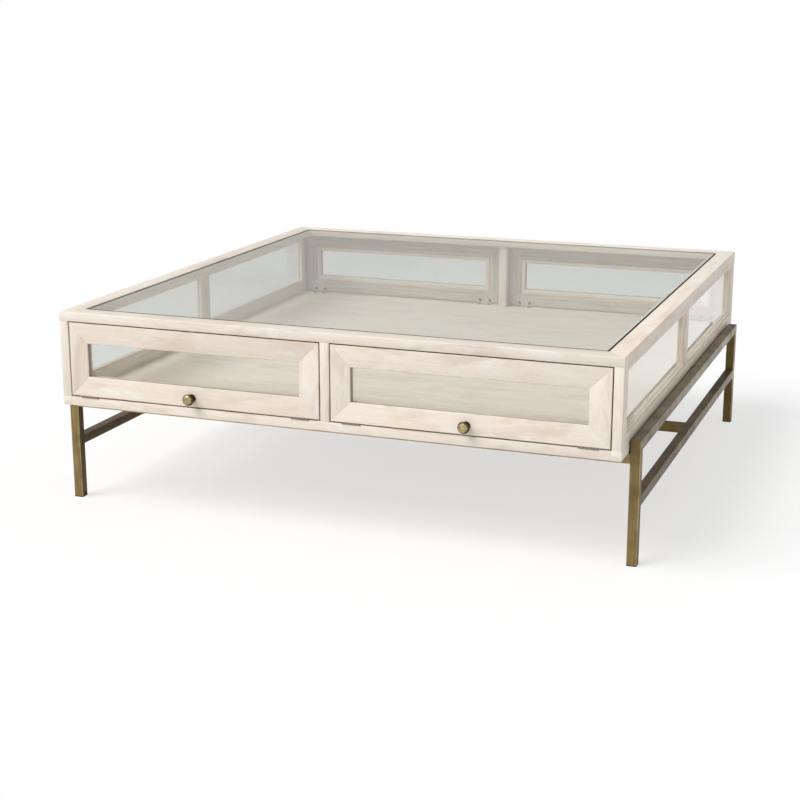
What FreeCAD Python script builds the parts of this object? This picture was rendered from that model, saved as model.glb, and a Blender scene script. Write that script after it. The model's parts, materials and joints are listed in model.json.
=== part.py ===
"""Square glass-topped display coffee table with four drop-down glazed doors.

Millimetres, +Z up, X along the front, the front faces -Y. The origin is on the
floor under the middle of the table. The case and its doors are built for the
front and the right, and turned half round for the back and the left.
"""
import FreeCAD, Part
import math
import os
from FreeCAD import Placement, Rotation, Vector

os.makedirs("parts", exist_ok=True)

# Wooden case
case_width = 1174.0
case_depth = 1220.0
case_height = 196.0
table_height = 417.0
board = 19.0
member_width = 42.0
arris = 1.5

# Mitred top frame and the glass that drops into it
top_face_width = 38.0
top_ledge_width = 12.0
top_glass_thickness = 5.0
top_glass_gap = 2.0
top_glass_arris = 0.8
pad_radius = 5.0
pad_height = 1.0
pads_per_side = 3

# Fixed side panels
side_top_rail_height = 18.0
side_bottom_rail_height = 34.0
mullion_width = 42.0
side_bead_recess = 2.0
side_bead_step_width = 4.0
side_bead_step_height = 2.5

# Posts between the doors and the bottom
post_width = 19.0
post_depth = 42.0
lipping_width = 20.0

# Doors, their panes and the beads that hold every small pane
door_gap = 2.5
pane_thickness = 4.0
pane_setback = 9.0
pane_clearance = 1.0
rebate_lap = 8.0
bead_chamfer = 2.5
sight_chamfer = 1.0

# Wrap-round hinges, two at the foot of each door
hinge_length = 38.0
hinge_inset = 42.0
hinge_axis_proud = 0.6
knuckle_radius = 1.5
hinge_pin_radius = 0.75
hinge_pin_clearance = 0.05
knuckle_end_gap = 0.15
leaf_thickness = 0.8
leaf_upstand = 17.0
leaf_on_floor = 16.5
leaf_start = 1.8

# Knobs: a crowned disc on a slim stem and a round base
knob_height = 18.5
knob_head_radius = 12.0
knob_projection = 23.0
knob_edge_thickness = 3.5
knob_back_slope = 4.0
knob_face_bevel = 1.2
knob_crown = 1.4
knob_crown_radius = 6.0
knob_stem_radius = 5.0
knob_base_radius = 8.5
knob_base_thickness = 2.5
knob_screw_radius = 2.0
knob_screw_bite = 9.0
knob_screw_head_radius = 4.5
knob_screw_head_height = 2.2

# Press-in magnets over the doors and the steel discs that they hold
magnet_radius = 4.0
magnet_length = 8.0
magnet_proud = 0.5
strike_radius = 5.0
strike_thickness = 2.0

# Square-tube base
tube = 20.0
tube_wall = 1.5
tube_corner = 1.6
side_frame_gap = 3.0
leg_setback = 58.0
leg_above_case_bottom = 25.0
stretcher_height = 115.0
foot_height = 2.0
foot_insert_length = 14.0
foot_insert_clearance = 0.1
base_screw_radius = 2.4
base_screw_head_radius = 4.8
base_screw_head_height = 2.6
base_screw_bite = 12.0
base_screw_inset = 150.0
base_screws_per_beam = 3
screw_crown_width = 0.6
screw_hole_clearance = 0.1

# Round pieces are drawn with flats, which keeps the model light. The angle is in degrees
small_round_flats = 8
knob_flat_angle = 11.25

# Sizes that follow from the ones above
half_width = case_width / 2
half_depth = case_depth / 2
case_bottom = table_height - case_height
floor_top = case_bottom + board
rim_bottom = table_height - board
rim_width = top_face_width + top_ledge_width
top_rebate_depth = top_glass_thickness + pad_height
door_width = half_width - board - post_width / 2 - 2 * door_gap
door_height = rim_bottom - floor_top - 2 * door_gap
door_bottom = floor_top + door_gap
pane_back = pane_setback + pane_thickness
side_inner = half_width - board
hinge_axis_y = -half_depth - hinge_axis_proud
hinge_axis_z = floor_top + door_gap / 2
door_back_y = -half_depth + board
leg_inner = half_width + side_frame_gap
leg_front = -half_depth + leg_setback
leg_top = case_bottom + leg_above_case_bottom
bore_half = tube / 2 - tube_wall
half_turn = Rotation(Vector(0, 0, 1), 180)
lay_along_x = Rotation(Vector(1, 1, 1), 120)
face_front = Rotation(Vector(1, 0, 0), 90)
face_right = lay_along_x
plan_margin = 1.0


def save(name, solids):
    """Write one named piece, or one group of like pieces, as its own file."""
    shape = solids[0] if len(solids) == 1 else Part.makeCompound(solids)
    shape.exportStep("parts/" + name + ".step")


def placed(shapes, place, turn):
    """Copies of the shapes turned and then moved to a place."""
    copies = []
    for shape in shapes:
        copy = shape.copy()
        copy.Placement = Placement(place, turn).multiply(shape.Placement)
        copies.append(copy)
    return copies


def opposite(shapes):
    """The same pieces on the far side of the table, which is symmetrical by a half turn."""
    return placed(shapes, Vector(0, 0, 0), half_turn)


def box(low, high):
    """Plain block between two corners."""
    size = Vector(*high) - Vector(*low)
    return Part.makeBox(size.x, size.y, size.z, Vector(*low))


def cylinder(radius, start, direction, length):
    return Part.makeCylinder(radius, length, Vector(*start), Vector(*direction))


def outline(corners):
    """Face through (x, y, radius) corners, each rounded by its own radius."""
    edges = []
    ends = []
    for index, (x, y, radius) in enumerate(corners):
        corner = Vector(x, y, 0)
        if radius == 0:
            ends.append((corner, corner))
            continue
        before = corners[index - 1]
        after = corners[(index + 1) % len(corners)]
        back = (Vector(before[0], before[1], 0) - corner).normalize()
        ahead = (Vector(after[0], after[1], 0) - corner).normalize()
        half_angle = back.getAngle(ahead) / 2
        start = corner + back * (radius / math.tan(half_angle))
        end = corner + ahead * (radius / math.tan(half_angle))
        bisector = (back + ahead).normalize()
        middle = corner + bisector * (radius / math.sin(half_angle) - radius)
        edges.append(Part.Arc(start, middle, end).toShape())
        ends.append((start, end))
    for index in range(len(ends)):
        edges.append(Part.makeLine(ends[index - 1][1], ends[index][0]))
    return Part.Face(Part.Wire(Part.__sortEdges__(edges)))


def bar_along_x(corners, length):
    """Moulding of a given length. Its outline is drawn as (across, up)."""
    bar = outline(corners).extrude(Vector(0, 0, length))
    return placed([bar], Vector(0, 0, 0), lay_along_x)[0]


def mitred_member(corners, width, length):
    """One side of a mitred frame, cut at 45 degrees at both ends."""
    blank = bar_along_x(corners, length)
    low = min(corner[1] for corner in corners) - plan_margin
    high = max(corner[1] for corner in corners) + plan_margin
    plan = [(0, 0), (length, 0), (length - width, width), (width, width), (0, 0)]
    cutter = Part.Face(Part.makePolygon([Vector(x, y, low) for x, y in plan]))
    return blank.common(cutter.extrude(Vector(0, 0, high - low))).Solids[0]


def mitred_frame(corners, width, frame_width, frame_height):
    """Bottom, right, top and left members of a frame that stands in the XY plane."""
    corners_of_frame = [(0, 0), (frame_width, 0), (frame_width, frame_height), (0, frame_height)]
    members = []
    for quarter, (x, y) in enumerate(corners_of_frame):
        length = frame_width if quarter % 2 == 0 else frame_height
        member = mitred_member(corners, width, length)
        members += placed([member], Vector(x, y, 0), Rotation(Vector(0, 0, 1), 90 * quarter))
    return members


def spread(count, reach):
    """Places spaced evenly from minus reach to plus reach."""
    return [reach * (2 * index / (count - 1) - 1) for index in range(count)]


def flat_face(corners):
    return Part.Face(Part.makePolygon(corners + corners[:1]))


def turned(sections, flats):
    """Turned piece along +Z through (radius, level) sections, drawn with flats."""
    turns = [Rotation(Vector(0, 0, 1), 360 / flats * index) for index in range(flats)]
    rings = [
        [turn.multVec(Vector(radius, 0, level)) for turn in turns] for radius, level in sections
    ]
    faces = [flat_face(rings[0]), flat_face(rings[-1])]
    for lower, upper in zip(rings, rings[1:]):
        for index in range(flats):
            faces.append(flat_face(
                [lower[index - 1], lower[index], upper[index], upper[index - 1]]
            ))
    return Part.Solid(Part.Shell(faces)).removeSplitter()


def rod(radius, start, direction, length):
    """Small round bar from a start point along a direction."""
    bar = turned([(radius, 0), (radius, length)], small_round_flats)
    return placed([bar], Vector(*start), Rotation(Vector(0, 0, 1), Vector(*direction)))[0]


def hole_round(radius, start, direction, length):
    """Cutter for a small round hole, its flats on the radius."""
    return rod(radius / math.cos(math.pi / small_round_flats), start, direction, length)


def screw(head_radius, head_height, shank_radius, length, seat, direction):
    """Screw with a low crowned head. Its shank runs from the seat along the direction."""
    whole = turned([
        (head_radius * screw_crown_width, -head_height),
        (head_radius, -head_height / 2),
        (head_radius, 0),
        (shank_radius, 0),
        (shank_radius, length),
    ], small_round_flats)
    return placed([whole], Vector(*seat), Rotation(Vector(0, 0, 1), Vector(*direction)))[0]


# Mitred top frame, rebated for the glass
rim_profile = [
    (0, 0, arris),
    (top_face_width, 0, 0),
    (top_face_width, -top_rebate_depth, 0),
    (rim_width, -top_rebate_depth, 0),
    (rim_width, -board, arris),
    (0, -board, 0),
]
rim = mitred_frame(rim_profile, rim_width, case_width, case_depth)
rim = placed(rim, Vector(-half_width, -half_depth, table_height), Rotation())
rim_front, rim_right, rim_back, rim_left = rim

# Doors stand between the corner stiles and the middle posts
door_left_edges = [-half_width + board + door_gap, post_width / 2 + door_gap]
door_middles = [edge + door_width / 2 for edge in door_left_edges]

# A press-in magnet sits in the top frame over the middle of each door
magnets_front = []
for x in door_middles:
    place = (x, -half_depth + board / 2, rim_bottom - magnet_proud)
    magnet = rod(magnet_radius, place, (0, 0, 1), magnet_length)
    magnets_front.append(magnet)
    rim_front = rim_front.cut(magnet)
magnets_back = opposite(magnets_front)
for magnet in magnets_back:
    rim_back = rim_back.cut(magnet)
save("top_rail_front", [rim_front])
save("top_rail_right", [rim_right])
save("top_rail_back", [rim_back])
save("top_rail_left", [rim_left])
save("catch_magnets", magnets_front + magnets_back)

# Top glass with a ground arris, on clear pads along the ledge
glass_half_width = half_width - top_face_width - top_glass_gap
glass_half_depth = half_depth - top_face_width - top_glass_gap
top_glass = box(
    (-glass_half_width, -glass_half_depth, table_height - top_glass_thickness),
    (glass_half_width, glass_half_depth, table_height),
)
top_glass = top_glass.makeChamfer(top_glass_arris, top_glass.Edges)
save("top_glass", [top_glass])
ledge_middle = top_face_width + top_ledge_width / 2
pad_x = half_width - ledge_middle
pad_y = half_depth - ledge_middle
pad_z = table_height - top_rebate_depth
pad_places = [(x, y) for x in spread(pads_per_side, pad_x) for y in (-pad_y, pad_y)]
pad_places += [(x, y) for x in (-pad_x, pad_x) for y in spread(pads_per_side, pad_y)[1:-1]]
save("top_glass_pads", [
    rod(pad_radius, (x, y, pad_z), (0, 0, 1), pad_height) for x, y in pad_places
])


def side_panel():
    """Right side: stiles, rails and mullion, two panes and their stepped beads."""
    low_z = floor_top + side_bottom_rail_height
    high_z = rim_bottom - side_top_rail_height
    openings = [
        (-half_depth + member_width, -mullion_width / 2),
        (mullion_width / 2, half_depth - member_width),
    ]
    front_stile = outline([
        (side_inner, -half_depth, 0),
        (half_width, -half_depth, arris),
        (half_width, -half_depth + member_width, 0),
        (side_inner, -half_depth + member_width, 0),
    ]).extrude(Vector(0, 0, rim_bottom - floor_top))
    front_stile.translate(Vector(0, 0, floor_top))
    back_stile = front_stile.mirror(Vector(0, 0, 0), Vector(0, 1, 0))
    between = half_depth - member_width
    pieces = {
        "front_stile": front_stile,
        "back_stile": back_stile,
        "bottom_rail": box((side_inner, -between, floor_top), (half_width, between, low_z)),
        "top_rail": box((side_inner, -between, high_z), (half_width, between, rim_bottom)),
        "mullion": box(
            (side_inner, -mullion_width / 2, low_z), (half_width, mullion_width / 2, high_z)
        ),
    }
    panes = []
    beads = []
    for low_y, high_y in openings:
        rebate = box(
            (half_width - pane_back, low_y - rebate_lap, low_z - rebate_lap),
            (half_width + plan_margin, high_y + rebate_lap, high_z + rebate_lap),
        )
        for name in pieces:
            pieces[name] = pieces[name].cut(rebate)
        hold = rebate_lap - pane_clearance
        panes.append(box(
            (half_width - pane_back, low_y - hold, low_z - hold),
            (half_width - pane_setback, high_y + hold, high_z + hold),
        ))
        step_top = -side_bead_recess
        step_foot = step_top - side_bead_step_height
        bead_profile = [
            (0, step_top, 0),
            (side_bead_step_width, step_top, 0),
            (side_bead_step_width, step_foot, 0),
            (rebate_lap, step_foot - side_bead_step_height, 0),
            (rebate_lap, -pane_setback, 0),
            (0, -pane_setback, 0),
        ]
        bead_frame = mitred_frame(
            bead_profile,
            rebate_lap,
            high_y - low_y + 2 * rebate_lap,
            high_z - low_z + 2 * rebate_lap,
        )
        corner = Vector(half_width, low_y - rebate_lap, low_z - rebate_lap)
        beads += placed(bead_frame, corner, face_right)
    pieces = {name: piece.Solids[0] for name, piece in pieces.items()}
    return pieces, panes, beads


side_pieces, side_panes, side_beads = side_panel()
turned_names = {"front_stile": "back_stile", "back_stile": "front_stile"}
for name, piece in side_pieces.items():
    save("side_right_" + name, [piece])
    save("side_left_" + turned_names.get(name, name), opposite([piece]))
save("side_right_panes", side_panes)
save("side_left_panes", opposite(side_panes))
save("side_right_beads", side_beads)
save("side_left_beads", opposite(side_beads))

# Middle posts, which carry the top frame between the doors
post_front = box(
    (-post_width / 2, -half_depth, floor_top),
    (post_width / 2, -half_depth + post_depth, rim_bottom),
)
save("middle_post_front", [post_front])
save("middle_post_back", opposite([post_front]))

# Base screws come up through the cross beams into the floor of the case
beam_bottom = case_bottom - tube
beam_y = leg_front + tube / 2
base_screw_reach = half_width - base_screw_inset
base_screw_length = tube + base_screw_bite
base_screw_places = [
    (x, y, beam_bottom)
    for x in spread(base_screws_per_beam, base_screw_reach)
    for y in (beam_y, -beam_y)
]
base_screws = [
    screw(
        base_screw_head_radius, base_screw_head_height, base_screw_radius,
        base_screw_length, place, (0, 0, 1),
    )
    for place in base_screw_places
]
save("base_screws", base_screws)
base_screw_holes = [
    hole_round(base_screw_radius + screw_hole_clearance, place, (0, 0, 1),
               base_screw_length + screw_hole_clearance)
    for place in base_screw_places
]

# Solid lipping round the floor panel
front_lip_profile = [
    (0, 0, arris), (lipping_width, 0, 0), (lipping_width, board, 0), (0, board, arris)
]
front_lip = bar_along_x(front_lip_profile, case_width - 2 * lipping_width)
front_lip.translate(Vector(-half_width + lipping_width, -half_depth, case_bottom))
right_lip = outline([
    (half_width - lipping_width, case_bottom, 0),
    (half_width, case_bottom, arris),
    (half_width, floor_top, 0),
    (half_width - lipping_width, floor_top, 0),
]).extrude(Vector(0, 0, case_depth))
right_lip = placed([right_lip], Vector(0, half_depth, 0), face_front)[0]
save("bottom_lipping", [front_lip, right_lip] + opposite([front_lip, right_lip]))


def knuckle(low_x, high_x):
    """Part of the hinge barrel, bored for the pin."""
    place = (low_x, hinge_axis_y, hinge_axis_z)
    barrel = rod(knuckle_radius, place, (1, 0, 0), high_x - low_x)
    bore_radius = hinge_pin_radius + hinge_pin_clearance
    return barrel.cut(hole_round(bore_radius, place, (1, 0, 0), high_x - low_x))


def hinge(middle):
    """One wrap-round hinge: its door leaf, its floor leaf and its pin."""
    low_x = middle - hinge_length / 2
    high_x = middle + hinge_length / 2
    third = hinge_length / 3
    join_y = hinge_axis_y + (hinge_pin_radius + knuckle_radius) / 2
    start_y = hinge_axis_y + leaf_start
    seat_y = door_back_y + leaf_thickness
    under_z = door_bottom - leaf_thickness

    under_door = box((low_x, start_y, under_z), (high_x, seat_y, door_bottom))
    upstand = box((low_x, door_back_y, under_z), (high_x, seat_y, door_bottom + leaf_upstand))
    middle_low = low_x + third + knuckle_end_gap
    middle_high = high_x - third - knuckle_end_gap
    tongue = box((middle_low, join_y, under_z), (middle_high, start_y, door_bottom))
    door_leaf = under_door.fuse([upstand, tongue, knuckle(middle_low, middle_high)])

    leaf_top = floor_top + leaf_thickness
    floor_leaf = box(
        (low_x, start_y, floor_top), (high_x, door_back_y + leaf_on_floor, leaf_top)
    )
    for edge_low, edge_high in ((low_x, low_x + third), (high_x - third, high_x)):
        tongue = box((edge_low, join_y, floor_top), (edge_high, start_y, leaf_top))
        floor_leaf = floor_leaf.fuse([tongue, knuckle(edge_low, edge_high)])

    pin_place = (low_x, hinge_axis_y, hinge_axis_z)
    pin = cylinder(hinge_pin_radius, pin_place, (1, 0, 0), hinge_length)
    return door_leaf.removeSplitter(), floor_leaf.removeSplitter(), pin


def knob(x):
    """Turned knob, the machine screw that holds it from inside, and the hole for the screw."""
    bore_radius = knob_screw_radius + screw_hole_clearance
    face_edge = knob_projection - knob_crown
    edge_front = face_edge - knob_face_bevel
    edge_back = edge_front - knob_edge_thickness
    whole = turned([
        (knob_base_radius, 0),
        (knob_base_radius, knob_base_thickness),
        (knob_stem_radius, knob_base_thickness),
        (knob_stem_radius, edge_back - knob_back_slope),
        (knob_head_radius, edge_back),
        (knob_head_radius, edge_front),
        (knob_head_radius - knob_face_bevel, face_edge),
        (knob_crown_radius, knob_projection),
    ], round(360 / knob_flat_angle))
    bore = hole_round(bore_radius, (0, 0, 0), (0, 0, 1), knob_screw_bite + screw_hole_clearance)
    place = Vector(x, -half_depth, door_bottom + knob_height)
    whole = placed(whole.cut(bore).Solids, place, face_front)[0]
    seat = (x, door_back_y, place.z)
    fixing = screw(
        knob_screw_head_radius, knob_screw_head_height, knob_screw_radius,
        board + knob_screw_bite, seat, (0, -1, 0),
    )
    hole = hole_round(bore_radius, seat, (0, -1, 0), board)
    return whole, fixing, hole


# Door members: eased outer arris, chamfered sight edge, rebate for the pane at the back
door_profile = [
    (0, 0, arris),
    (member_width - sight_chamfer, 0, 0),
    (member_width, -sight_chamfer, 0),
    (member_width, -pane_setback, 0),
    (member_width - rebate_lap, -pane_setback, 0),
    (member_width - rebate_lap, -board, 0),
    (0, -board, 0),
]
door_bead_profile = [
    (0, -pane_back, 0),
    (rebate_lap, -pane_back, 0),
    (rebate_lap, -board + bead_chamfer, 0),
    (rebate_lap - bead_chamfer, -board, 0),
    (0, -board, 0),
]


def door(left_edge):
    """One closed front door with its pane, beads, knob and hinges."""
    middle = left_edge + door_width / 2
    members = mitred_frame(door_profile, member_width, door_width, door_height)
    members = placed(members, Vector(left_edge, -half_depth, door_bottom), face_front)
    inset = member_width - rebate_lap
    bead_frame = mitred_frame(
        door_bead_profile, rebate_lap, door_width - 2 * inset, door_height - 2 * inset
    )
    bead_corner = Vector(left_edge + inset, -half_depth, door_bottom + inset)
    hold = inset + pane_clearance
    pane = box(
        (left_edge + hold, -half_depth + pane_setback, door_bottom + hold),
        (left_edge + door_width - hold, -half_depth + pane_back, door_bottom + door_height - hold),
    )
    knob_body, knob_screw, knob_hole = knob(middle)
    members[0] = members[0].cut(knob_hole)
    strike_z = door_bottom + door_height - strike_thickness
    strike_place = (middle, -half_depth + board / 2, strike_z)
    strike = rod(strike_radius, strike_place, (0, 0, 1), strike_thickness)
    members[2] = members[2].cut(strike)

    fittings = [strike]
    floor_leaves = []
    pins = []
    for x in (left_edge + hinge_inset, left_edge + door_width - hinge_inset):
        door_leaf, floor_leaf, pin = hinge(x)
        fittings.append(door_leaf)
        floor_leaves.append(floor_leaf)
        pins.append(pin)
    return {
        "frame": [member.Solids[0] for member in members],
        "beads": placed(bead_frame, bead_corner, face_front),
        "pane": [pane],
        "knob": [knob_body, knob_screw],
        "fittings": fittings,
    }, floor_leaves, pins


floor_leaves = []
hinge_pins = []
for side, left_edge in zip(("left", "right"), door_left_edges):
    pieces, leaves, pins = door(left_edge)
    floor_leaves += leaves
    hinge_pins += pins
    other = "right" if side == "left" else "left"
    for kind, solids in pieces.items():
        save("door_front_" + side + "_" + kind, solids)
        save("door_back_" + other + "_" + kind, opposite(solids))
save("hinge_floor_leaves", floor_leaves + opposite(floor_leaves))
save("hinge_pins", hinge_pins + opposite(hinge_pins))

# Floor panel, drilled for the base screws
floor_panel = box(
    (-half_width + lipping_width, -half_depth + lipping_width, case_bottom),
    (half_width - lipping_width, half_depth - lipping_width, floor_top),
)
save("floor_panel", floor_panel.cut(base_screw_holes).Solids)


# Outline of the tube, with rounded corners, centred
tube_section = outline([
    (-tube / 2, -tube / 2, tube_corner),
    (tube / 2, -tube / 2, tube_corner),
    (tube / 2, tube / 2, tube_corner),
    (-tube / 2, tube / 2, tube_corner),
])


def square_tube(length):
    """Square tube along +Z."""
    skin = tube_section.extrude(Vector(0, 0, length))
    return skin.cut(box((-bore_half, -bore_half, 0), (bore_half, bore_half, length)))


# Legs are closed by a welded cap at the top and by a pressed-in foot at the bottom
leg_x = leg_inner + tube / 2
leg_places = {
    "front_left": (-leg_x, beam_y),
    "front_right": (leg_x, beam_y),
    "back_left": (-leg_x, -beam_y),
    "back_right": (leg_x, -beam_y),
}
leg = square_tube(leg_top - foot_height)
cap = box((-bore_half, -bore_half, leg_top - foot_height - tube_wall),
          (bore_half, bore_half, leg_top - foot_height))
leg = leg.fuse(cap).removeSplitter()
insert_half = bore_half - foot_insert_clearance
foot = tube_section.extrude(Vector(0, 0, foot_height))
foot = foot.fuse(box((-insert_half, -insert_half, 0),
                     (insert_half, insert_half, foot_height + foot_insert_length)))
foot = foot.removeSplitter()
feet = []
for name, (x, y) in leg_places.items():
    save("leg_" + name, placed([leg], Vector(x, y, foot_height), Rotation()))
    feet += placed([foot], Vector(x, y, 0), Rotation())
save("leg_feet", feet)

# Rails and stretchers of the side frames, cross bar, and the two beams under the case
between_legs = -2 * leg_front - 2 * tube
side_tube = placed([square_tube(between_legs)], Vector(0, between_legs / 2, 0), face_front)
rail_place = Vector(leg_x, 0, leg_top - tube / 2)
stretcher_place = Vector(leg_x, 0, stretcher_height + tube / 2)
upper_rail = placed(side_tube, rail_place, Rotation())
stretcher = placed(side_tube, stretcher_place, Rotation())
save("base_rail_right", upper_rail)
save("base_rail_left", opposite(upper_rail))
save("base_stretcher_right", stretcher)
save("base_stretcher_left", opposite(stretcher))
cross_tube = square_tube(2 * leg_inner)
cross_tube = placed([cross_tube], Vector(-leg_inner, 0, 0), lay_along_x)
save("base_cross_bar", placed(cross_tube, Vector(0, 0, stretcher_place.z), Rotation()))
beam = placed(cross_tube, Vector(0, beam_y, case_bottom - tube / 2), Rotation())
beam = [beam[0].cut(base_screw_holes)]
save("base_beam_front", beam)
save("base_beam_back", opposite(beam))
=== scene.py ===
"""Square display coffee table: whitewashed case, glazed drop-down doors, brass tube base.

Metres, +Z up, X along the front, the front faces -Y. The pieces follow the order in
which the table is put together: base, case, top, doors with their fittings, and last
the screws that hold the case on its base.
"""
import itertools
import json
import math

import bmesh
import bpy
from mathutils import Matrix, Vector

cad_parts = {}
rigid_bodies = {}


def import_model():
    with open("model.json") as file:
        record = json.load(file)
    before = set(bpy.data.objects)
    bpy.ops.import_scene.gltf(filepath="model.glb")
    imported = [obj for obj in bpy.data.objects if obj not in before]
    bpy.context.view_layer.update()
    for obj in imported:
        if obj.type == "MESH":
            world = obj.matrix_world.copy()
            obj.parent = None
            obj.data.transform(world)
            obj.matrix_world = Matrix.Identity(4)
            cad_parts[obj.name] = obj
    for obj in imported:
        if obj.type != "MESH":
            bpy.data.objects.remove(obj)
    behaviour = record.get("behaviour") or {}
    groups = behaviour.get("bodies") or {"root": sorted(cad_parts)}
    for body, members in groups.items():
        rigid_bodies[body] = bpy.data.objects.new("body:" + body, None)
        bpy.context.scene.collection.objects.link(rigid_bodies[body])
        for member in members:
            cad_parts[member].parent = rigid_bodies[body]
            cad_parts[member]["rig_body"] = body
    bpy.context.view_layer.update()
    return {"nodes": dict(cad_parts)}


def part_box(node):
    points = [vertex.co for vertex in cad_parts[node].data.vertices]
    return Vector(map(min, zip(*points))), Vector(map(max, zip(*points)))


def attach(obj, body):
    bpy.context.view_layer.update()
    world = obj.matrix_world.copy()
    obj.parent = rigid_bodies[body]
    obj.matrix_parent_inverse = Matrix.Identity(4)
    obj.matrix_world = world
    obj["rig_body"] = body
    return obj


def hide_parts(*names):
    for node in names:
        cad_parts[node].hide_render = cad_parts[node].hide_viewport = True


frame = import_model()

# Base frames: 20 mm square steel tube, welded into two side frames with a cross bar
# and two beams between them, then plated in an antique brass and brushed lengthwise.
# The plate is rubbed bright on the corners, with a painted highlight there as well, and is
# painted darker on the faces that look inward under the table: painted shade.
olive_gold = (0.225, 0.160, 0.062, 1)
pale_gold = (0.36, 0.27, 0.115, 1)
# The beams get a lighter gold than the other tubes: painted light, because they sit in shade under
# the case.
beam_painted_light_gold = (0.42, 0.31, 0.13, 1)
beam_painted_light_pale = (0.60, 0.47, 0.22, 1)
olive_taupe = (0.215, 0.175, 0.125, 1)
pale_taupe = (0.34, 0.285, 0.215, 1)
patina_and_shade_brown = (0.070, 0.047, 0.025, 1)
corner_gold_and_highlight = (0.58, 0.46, 0.24, 1)
brushed_length = 18.0
brushed_width = 1400.0
brushed_relief = (0.12, 0.0002)
patina_scale = 16.0
patina_range = (0.36, 0.72, 0.0, 0.50)
darkening_scale = 1.7
darkening_range = (0.42, 0.60, 0.0, 0.30)
painted_shade_inward_range = (0.0, -0.3, 0.0, 0.70)
corner_range = (0.92, 0.60)
corner_patches = (0.65, 0.40, 0.35, 0.90)
brass_roughness = (0.28, 0.40)
brushed_roughness = (0.0, 0.08)
brass_metallic = 0.9
usual_low = 0.3
usual_high = 0.7


def add(material, kind, inputs=None, **settings):
    """Shader node; each input is a value or the output of another node."""
    node = material.node_tree.nodes.new("ShaderNode" + kind)
    for name, value in settings.items():
        setattr(node, name, value)
    for name, value in (inputs or {}).items():
        if isinstance(value, bpy.types.NodeSocket):
            material.node_tree.links.new(value, node.inputs[name])
        else:
            node.inputs[name].default_value = value
    return node


def new_material(name):
    """Empty material."""
    material = bpy.data.materials.new(name)
    material.use_nodes = True
    material.node_tree.nodes.clear()
    return material


def shown_by(material, shader):
    """The material, with its look from this shader."""
    add(material, "OutputMaterial", {"Surface": shader.outputs[0]})
    return material


def noise(material, coordinates, scale, detail=3.0, roughness=0.5, distortion=0.0):
    """Noise stretched by a scale along each axis."""
    stretched = add(material, "Mapping", {"Vector": coordinates, "Scale": scale})
    return add(material, "TexNoise", {
        "Vector": stretched.outputs[0], "Scale": 1.0, "Detail": detail,
        "Roughness": roughness, "Distortion": distortion,
    }).outputs["Fac"]


def ramp(material, value, low, high, to_low=0.0, to_high=1.0):
    """The value carried smoothly from one range to another."""
    return add(material, "MapRange", {
        "Value": value, "From Min": low, "From Max": high, "To Min": to_low, "To Max": to_high,
    }, interpolation_type="SMOOTHSTEP").outputs[0]


def spread(material, value, to_low=0.0, to_high=1.0):
    """Noise carried from its usual range to another."""
    return ramp(material, value, usual_low, usual_high, to_low, to_high)


def tint(material, factor, first, second):
    """Colour between two others."""
    # A colour mix has its factor at input 0, its colours at 6 and 7, and gives output 2.
    mix = add(material, "Mix", data_type="RGBA")
    for socket, value in ((mix.inputs[0], factor), (mix.inputs[6], first), (mix.inputs[7], second)):
        if isinstance(value, bpy.types.NodeSocket):
            material.node_tree.links.new(value, socket)
        else:
            socket.default_value = value
    return mix.outputs[2]


def worked_out(material, operation, first, second):
    """Number worked out from two others."""
    return add(material, "Math", {0: first, 1: second}, operation=operation).outputs[0]


def times(material, first, second):
    """Product of two numbers."""
    return worked_out(material, "MULTIPLY", first, second)


def relief(material, height, strength, depth):
    """Fine relief of the surface: the way it faces, bent by a height."""
    return add(material, "Bump", {
        "Height": height, "Strength": strength, "Distance": depth,
    }).outputs[0]


def corner_wear_and_highlight(material, facing, patches):
    """How far the plate is rubbed, with a painted highlight: not on a flat face, most on the
    rounded corners.
    """
    squared = add(material, "VectorMath", {0: facing, 1: facing}, operation="MULTIPLY").outputs[0]
    flat = add(material, "VectorMath", {0: squared, 1: squared}, operation="DOT_PRODUCT")
    return times(
        material,
        ramp(material, flat.outputs["Value"], *corner_range),
        ramp(material, patches, *corner_patches),
    )


def brushed_brass(name, along, dull, rubbed):
    """Antique brass plate, brushed along one axis: patina in patches, painted shade on inner faces,
    rubbed corners with a painted highlight.
    """
    material = new_material(name)
    coordinates = add(material, "TexCoord")
    place = coordinates.outputs["Object"]
    facing = coordinates.outputs["Normal"]
    scale = [brushed_length if axis == along else brushed_width for axis in "xyz"]
    scratches = noise(material, place, scale, detail=2.0, roughness=0.6)
    patches = noise(material, place, [patina_scale] * 3, detail=4.0, roughness=0.6)
    darkened = noise(material, place, [darkening_scale] * 3, detail=1.0)
    # Faces that look in under the table are painted darker brown: painted shade, not patina.
    sideways = add(material, "VectorMath", {0: facing, 1: place}, operation="MULTIPLY")
    inward = add(material, "SeparateXYZ", {"Vector": sideways.outputs[0]}).outputs[0]
    colour = tint(material, spread(material, scratches), dull, rubbed)
    for darker in (
        ramp(material, darkened, *darkening_range),
        ramp(material, patches, *patina_range),
        ramp(material, inward, *painted_shade_inward_range),
    ):
        colour = tint(material, darker, colour, patina_and_shade_brown)
    # The rounded corners are painted brighter: rubbed wear and a painted highlight along the arris.
    colour = tint(material, corner_wear_and_highlight(material, facing, patches), colour, corner_gold_and_highlight)
    rough = worked_out(
        material, "ADD",
        spread(material, patches, *brass_roughness),
        spread(material, scratches, *brushed_roughness),
    )
    return shown_by(material, add(material, "BsdfPrincipled", {
        "Base Color": colour, "Metallic": brass_metallic, "Roughness": rough,
        "Normal": relief(material, scratches, *brushed_relief),
    }))


def give_finish(node, material):
    """The CAD piece keeps its shape and gets this finish."""
    for place in frame["nodes"][node].material_slots:
        place.material = material


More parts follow.
